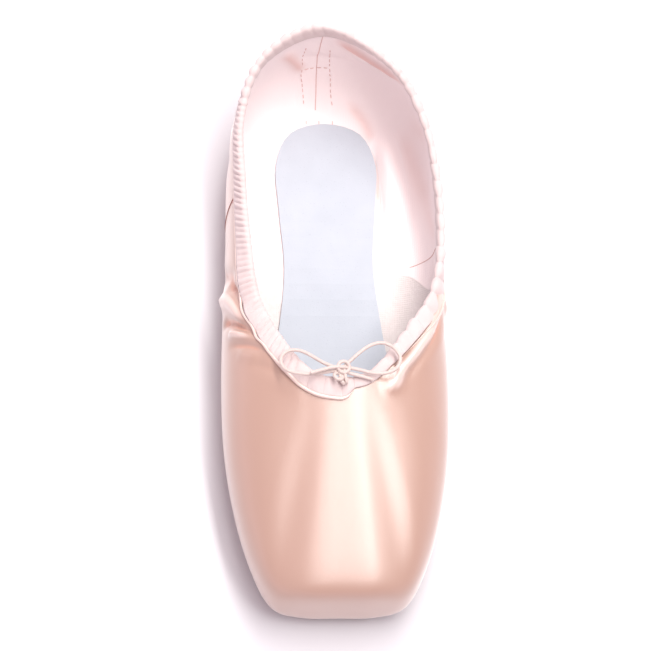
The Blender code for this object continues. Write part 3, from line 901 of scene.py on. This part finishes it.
class POINTE_OT_drawstring(bpy.types.Operator):
    """Ties the drawstring in its bow"""

    bl_idname = "pointe.drawstring"
    bl_label = "Tie the drawstring"

    def cord(self, name, route):
        """One half of the drawstring, as a curve of one open spline."""
        line = smooth_line(np.array(route) / 1000.0 + np.array(THROAT), 40)
        curve = bpy.data.curves.new(name, "CURVE")
        curve.dimensions = "3D"
        curve.bevel_depth = sizes().cord / 2
        curve.bevel_resolution = 4
        curve.use_fill_caps = True
        spline = curve.splines.new("NURBS")
        spline.points.add(len(line) - 1)
        for point, place in zip(spline.points, line):
            point.co = (*place, 1.0)
        spline.order_u = 4
        spline.use_endpoint_u = True
        curve.materials.append(self.material)
        made = bpy.data.objects.new(name, curve)
        bpy.context.scene.collection.objects.link(made)
        length = float(np.linalg.norm(np.diff(line, axis=0), axis=1).sum())
        return made, length

    def execute(self, context):
        self.material = cord_material()
        exit_point = (0.8, -0.4, 1.2)
        knot_left, knot_right = (-0.9, 4.0, 2.9), (0.6, 5.2, 3.3)
        left_way = [exit_point] + LEAD + [knot_left] + LEFT_LOOP + [(-0.4, 4.0, 3.3)] + RIGHT_TAIL
        right_way = [(1.4, -0.2, 1.0), (1.8, -1.2, 2.3), (1.2, 1.0, 3.2), knot_right] + RIGHT_LOOP
        right_way += [(0.0, 4.9, 4.2)] + LEFT_TAIL
        left, left_length = self.cord("drawstring_left", left_way)
        right, right_length = self.cord("drawstring_right", right_way)

        bm = bmesh.new()
        for radius, tilts, place in KNOT_RINGS:
            made = bmesh.ops.create_circle(bm, segments=12, radius=sizes().cord / 2)["verts"]
            bmesh.ops.rotate(bm, verts=made, matrix=Matrix.Rotation(math.pi / 2, 3, "X"))
            bmesh.ops.translate(bm, verts=made, vec=(radius / 1000.0, 0, 0))
            edges = list(dict.fromkeys(edge for vert in made for edge in vert.link_edges))
            bmesh.ops.spin(
                bm, geom=made + edges, cent=(0, 0, 0), axis=(0, 0, 1), angle=math.tau, steps=32,
                use_merge=True)
            ring = [vert for vert in bm.verts if not vert.tag]
            for axis, tilt in zip("XYZ", tilts):
                bmesh.ops.rotate(bm, verts=ring, matrix=Matrix.Rotation(math.radians(tilt), 3, axis))
            bmesh.ops.translate(bm, verts=ring, vec=THROAT + Vector(place) / 1000.0)
            for vert in ring:
                vert.tag = True
        bmesh.ops.remove_doubles(bm, verts=bm.verts, dist=1e-6)
        bmesh.ops.recalc_face_normals(bm, faces=bm.faces)
        wrap = add_object("drawstring_wrap", bm, [self.material])

        nodes = ("drawstring_lead", "drawstring_loop_left", "drawstring_tail_right")
        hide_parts(*nodes)
        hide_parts("drawstring_loop_right", "drawstring_tail_left")
        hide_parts("drawstring_knot")
        for piece in (left, right, wrap):
            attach(piece, "root")
        return {"FINISHED"}


class POINTE_OT_upper(bpy.types.Operator):
    """Dresses the shell in satin outside and cotton inside, with its folds"""

    bl_idname = "pointe.upper"
    bl_label = "Dress the upper"

    def execute(self, context):
        bm = copy_of_node("upper")
        grid, place = upper_grid(bm)
        layer = write_places(bm, place, UPPER_RINGS)
        add_columns(bm, grid, place, layer, [int(c in FINE_COLUMNS) for c in range(COLUMNS)])
        for face in bm.faces:
            rings = [loop[layer].uv.y * UPPER_RINGS for loop in face.loops]
            face.material_index = 0 if min(rings) < OUTER_RINGS - 0.5 else 1
        satin = satin_material("satin_face", colours().satin, colours().satin_deep)
        made = add_object("satin_upper", bm, [satin, lining_material()])
        mesh = subdivided(made, 2).data
        points, normals = read_points(mesh)
        ring = read_places(mesh)[:, 1] * UPPER_RINGS
        inner = ring > OUTER_RINGS + 0.5
        below = np.minimum(ring, (UPPER_RINGS - ring) * INSIDE_RING)
        hold = COLLAR_HOLD + (1.0 - COLLAR_HOLD) * smooth_step((below - HOLD_FROM) / HOLD_OVER)
        shift, depth = fold_shift(points, skin.out_at(points), normals, inner, hold)
        x, y, z = points.T
        strip = smooth_step((HEEL_STRIP.half_width - np.abs(x - HEEL_STRIP.middle)) / HEEL_STRIP.edge)
        strip *= smooth_step((HEEL_STRIP.top - z) / HEEL_STRIP.edge) * inner * (y > HEEL_STRIP.front)
        shift += normals * (strip * HEEL_STRIP.rise)[:, None]
        edge = CANVAS.back - CANVAS.curve * np.maximum(CANVAS.curve_from - np.abs(x), 0.0) ** 2
        edge -= CANVAS.lean * smooth_step((z - CANVAS.lean_from) / CANVAS.lean_over)
        for name, values in (("canvas_edge", edge - y), ("fold_depth", depth)):
            held = mesh.attributes.new(name, "FLOAT", "POINT")
            held.data.foreach_set("value", values.astype(np.float32))
        write_points(mesh, points + shift)
        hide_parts("upper")
        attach(made, "root")
        return {"FINISHED"}


class POINTE_OT_binding(bpy.types.Operator):
    """Gathers the tape round the collar"""

    bl_idname = "pointe.binding"
    bl_label = "Gather the binding"

    def execute(self, context):
        bm = copy_of_node("collar_binding")
        grid, place = binding_grid(bm)
        layer = write_places(bm, place, BINDING_RINGS)
        for c, column in enumerate(grid):
            share = float(np.interp(c / COLUMNS, *NARROW))
            for low, high in ((0, 1), (9, 8)):
                column[low].co = column[low].co.lerp(column[high].co, share)
        add_columns(bm, grid, place, layer, [BINDING_CUTS] * COLUMNS)
        made = add_object("binding_tape", bm, [tape_material()])
        mesh = subdivided(made, 1).data
        points, normals = read_points(mesh)
        round_shoe, ring = (read_places(mesh) * (1, BINDING_RINGS)).T
        at = round_shoe * COLUMNS
        phase, deep = (np.interp(at, np.arange(COLUMNS + 1), row) for row in gather_turns(skin.collar))
        outer = np.interp(ring, *GATHER_RINGS)
        flat = np.interp(round_shoe, *FLAT_CROWN) * np.interp(ring, *FLAT_RINGS)
        rise = (gather_wave(phase, 5) - GATHER_MIDDLE) * deep * outer * (1.0 - flat)
        rise = rise * sizes().gather / GATHER_DEPTH
        inner, hold = np.ones(len(points), bool), np.full(len(points), COLLAR_HOLD)
        shift, _ = fold_shift(points, skin.out_at(points), normals, inner, hold, {"all"})
        write_points(mesh, points + shift + normals * rise[:, None])
        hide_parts("collar_binding")
        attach(made, "root")
        return {"FINISHED"}


# Seam lines on the shell, in millimetres
SIDE_SEAMS = [
    [(-39.4, 50.0, 42), (-40.4, 48.6, 37), (-42.1, 45.8, 29.8), (-43.2, 42.0, 23), (-43.4, 38.8, 17),
     (-42.5, 36.0, 11), (-40, 33.8, 6), (-38, 32.5, 3.5)],
    [(41.5, 29.5, 44), (43.2, 28.6, 38), (44.3, 30.6, 27), (43.8, 31.0, 16), (41, 30.5, 8), (38.5, 30, 4)],
]
INSIDE_SEAMS = [
    [(39.4, 26.6, 42), (41.2, 28.4, 34), (41.4, 30.5, 26.6), (39.1, 30.4, 15.1), (33.5, 29.8, 9.7)],
    [(-38.6, 48, 40), (-40.6, 46, 31), (-41.2, 42, 22), (-38.5, 38, 12)],
]
BACK_SEAMS = [
    [(-3.4, 114.6, 53), (-4.2, 116, 39.4), (-4.5, 115.6, 23), (-4.1, 111.3, 11.1), (-4.0, 104.6, 5.7)],
    [(-1.2, 119, 52), (-1.4, 119.6, 40), (-1.2, 119.4, 25), (-0.8, 118, 12), (-0.4, 114, 3)],
]
HEEL_ROWS = [
    [(-10, 114.8, 41.2), (-11.1, 114.5, 31.1), (-10.9, 114.0, 22), (-9.6, 109.2, 10.3), (-9.0, 104.0, 5.8)],
    [(0.2, 116.3, 36.8), (1.1, 116, 22.6), (2.5, 109.8, 9.7), (3.7, 104.7, 5.8)],
    [(-10.4, 114.4, 23.4), (-4.7, 115.6, 23.2), (1.1, 115.9, 22.6)],
    [(-7.9, 100.2, 4.8), (-7.9, 97.2, 4.2)],
    [(-2.4, 100.4, 4.8), (-2.4, 97.4, 4.2)],
    [(3.4, 100.5, 4.8), (3.4, 97.5, 4.2)],
]


class POINTE_OT_seams(bpy.types.Operator):
    """Sews the seams, the stitch rows and the satin piping"""

    bl_idname = "pointe.seams"
    bl_label = "Sew the seams"

    def execute(self, context):
        shell = surface_of("satin_upper")
        tape = surface_of("binding_tape")
        # The piping is the satin in its painted highlight colour.
        satin = satin_material("satin_painted_highlight", colours().satin_painted_highlight, colours().satin)
        # The side seams' dark thread stands for the seam and its painted shadow line.
        shadowed_seam_thread = thread_material("shadowed_seam_thread", colours().seam)
        pink_thread = thread_material("pink_thread", colours().thread)
        for name, rows, lift, radius, thread in (
                ("side_seams", SIDE_SEAMS, 0.00002, 0.00026, shadowed_seam_thread),
                ("inside_seams", INSIDE_SEAMS + BACK_SEAMS, 0.0, 0.0002, pink_thread)):
            lines = [laid(smooth_line(np.array(row) / 1000.0, 60), shell, lift) for row in rows]
            add_tubes(name, lines, [radius] * len(lines), thread)
        rings = np.array(self.binding_rings())
        inside = spline_round(
            rings[:, 5] * 0.75 + rings[:, 4] * 0.25, np.linspace(0.56 * COLUMNS, 0.95 * COLUMNS, 400))
        rows = [smooth_line(np.array(row) / 1000.0, 80) for row in HEEL_ROWS]
        for name, lines, pitch, length, surface, radius, seed in (
                ("heel_stitches", rows, 0.0028, sizes().stitch, shell, 0.00018, 0),
                ("binding_stitches", [inside], 0.0052, sizes().stitch * 1.3, tape, 0.0002, 9)):
            dashes = [dash for k, line in enumerate(lines)
                      for dash in stitches_along(line, pitch, length, surface, radius, seed + k)]
            add_tubes(name, dashes, [radius] * len(dashes), pink_thread, 1)

        at = np.linspace(0, COLUMNS, 1120, endpoint=False)
        share = np.interp(at / COLUMNS, *NARROW)[:, None]
        edge = spline_round((rings[:, 0] + rings[:, 9]) / 2, at) * (1 - share)
        edge += spline_round((rings[:, 1] + rings[:, 8]) / 2, at) * share
        radius = np.interp(at / COLUMNS, *PIPING) / 1000.0 * sizes().piping / PIPING_RADIUS
        out = skin.out_at(edge)
        inner, hold = np.zeros(len(edge), bool), np.full(len(edge), COLLAR_HOLD)
        shift, _ = fold_shift(edge, out, out, inner, hold)
        line = laid(edge + shift + out * 0.001, shell, 0.0)
        for _ in range(PIPING_PASSES):
            line = (np.roll(line, 1, axis=0) + 2 * line + np.roll(line, -1, axis=0)) / 4
        line += out * (radius * 0.75)[:, None]
        add_tubes("satin_piping", [line], [radius], satin, 3, cyclic=True)
        return {"FINISHED"}

    def binding_rings(self):
        """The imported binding's points, a row for each column."""
        bm = copy_of_node("collar_binding")
        grid, _ = binding_grid(bm)
        rings = [[vert.co[:] for vert in column] for column in grid]
        bm.free()
        return rings


class POINTE_OT_soles(bpy.types.Operator):
    """Gives the insole its brushed board and the outsole its leather"""

    bl_idname = "pointe.soles"
    bl_label = "Finish the soles"

    def execute(self, context):
        for node, material in (("insole", insole_material()), ("outsole", leather_material())):
            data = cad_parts[node].data
            for i in range(len(data.materials)):
                data.materials[i] = material
        return {"FINISHED"}


class POINTE_OT_stage(bpy.types.Operator):
    """Lays the pale floor and sets the studio lights"""

    bl_idname = "pointe.stage"
    bl_label = "Set the stage"

    def light(self, name, box):
        """A soft box that faces the shoe."""
        data = bpy.data.lights.new(name, "AREA")
        data.shape = "RECTANGLE"
        data.size, data.size_y = box.size
        data.energy, data.color = box.energy, box.colour
        made = bpy.data.objects.new(name, data)
        turn = math.radians(box.turn)
        back = (Vector(box.place) - LIGHT_AIM).normalized()
        long = Vector((-math.sin(turn), math.cos(turn), 0.0))
        long = (long - back * long.dot(back)).normalized()
        basis = Matrix((long.cross(back), long, back)).transposed().to_4x4()
        made.matrix_world = Matrix.Translation(box.place) @ basis
        bpy.context.scene.collection.objects.link(made)

    def sky(self):
        """A studio that is brightest at the horizon and on the shoe's left."""
        world = bpy.data.worlds.new("studio")
        world.use_nodes = True
        tree = world.node_tree
        ambient = tree.nodes["Background"].inputs
        way = add_node(tree, "ShaderNodeTexCoord").outputs["Generated"]
        side, _, height = add_node(tree, "ShaderNodeSeparateXYZ", {"Vector": way}).outputs
        ramp = add_node(tree, "ShaderNodeValToRGB", {"Fac": height})
        stops = ramp.color_ramp.elements
        for place, level in SKY:
            stops.new(place).color = (*(level * tint for tint in SKY_TINT), 1.0)
        for spare in (stops[-1], stops[0]):
            stops.remove(spare)
        inputs = {"Value": side, "From Min": -1.0, "To Min": SKY_LEAN[0], "To Max": SKY_LEAN[1]}
        lean = add_node(tree, "ShaderNodeMapRange", inputs).outputs["Result"]
        tree.links.new(ramp.outputs["Color"], ambient["Color"])
        tree.links.new(lean, ambient["Strength"])
        return world

    def execute(self, context):
        context.scene.view_settings.view_transform = "Standard"
        context.scene.world = self.sky()
        bm = bmesh.new()
        bmesh.ops.create_grid(bm, x_segments=8, y_segments=8, size=2.5)
        floor_paint, tree, shader, where = start_material("floor_paint", Roughness=0.8)
        base = colours().floor
        paint(tree, shader, mottle(tree, where, base, deeper(base, 0.05), 3.0, 0.5))
        floor = add_object("floor", bm, [floor_paint])
        for name, box in LIGHTS.items():
            self.light(name, box)
        return {"FINISHED"}


class VIEW3D_PT_pointe(bpy.types.Panel):
    """Lists the shoe's pieces, sizes and colours"""

    bl_label = "Pointe shoe"
    bl_idname = "VIEW3D_PT_pointe"
    bl_space_type = "VIEW_3D"
    bl_region_type = "UI"
    bl_category = "Pointe shoe"

    def draw(self, context):
        for step in STEPS:
            self.layout.operator(step.bl_idname)
        for group in (context.scene.pointe_sizes, context.scene.pointe_colours):
            box = self.layout.box()
            for name in group.__annotations__:
                box.prop(group, name)


STEPS = (
    POINTE_OT_camera,
    POINTE_OT_drawstring,
    POINTE_OT_upper,
    POINTE_OT_binding,
    POINTE_OT_seams,
    POINTE_OT_soles,
    POINTE_OT_stage,
)
CLASSES = (PointeSizes, PointeColours, *STEPS, VIEW3D_PT_pointe)
skin = OuterSkin()


def register():
    for kind in CLASSES:
        bpy.utils.register_class(kind)
    bpy.types.Scene.pointe_sizes = bpy.props.PointerProperty(type=PointeSizes)
    bpy.types.Scene.pointe_colours = bpy.props.PointerProperty(type=PointeColours)


def unregister():
    del bpy.types.Scene.pointe_colours
    del bpy.types.Scene.pointe_sizes
    for kind in reversed(CLASSES):
        bpy.utils.unregister_class(kind)


def main():
    register()
    for step in STEPS:
        getattr(bpy.ops.pointe, step.bl_idname.partition(".")[2])()


if __name__ == "__main__":
    main()
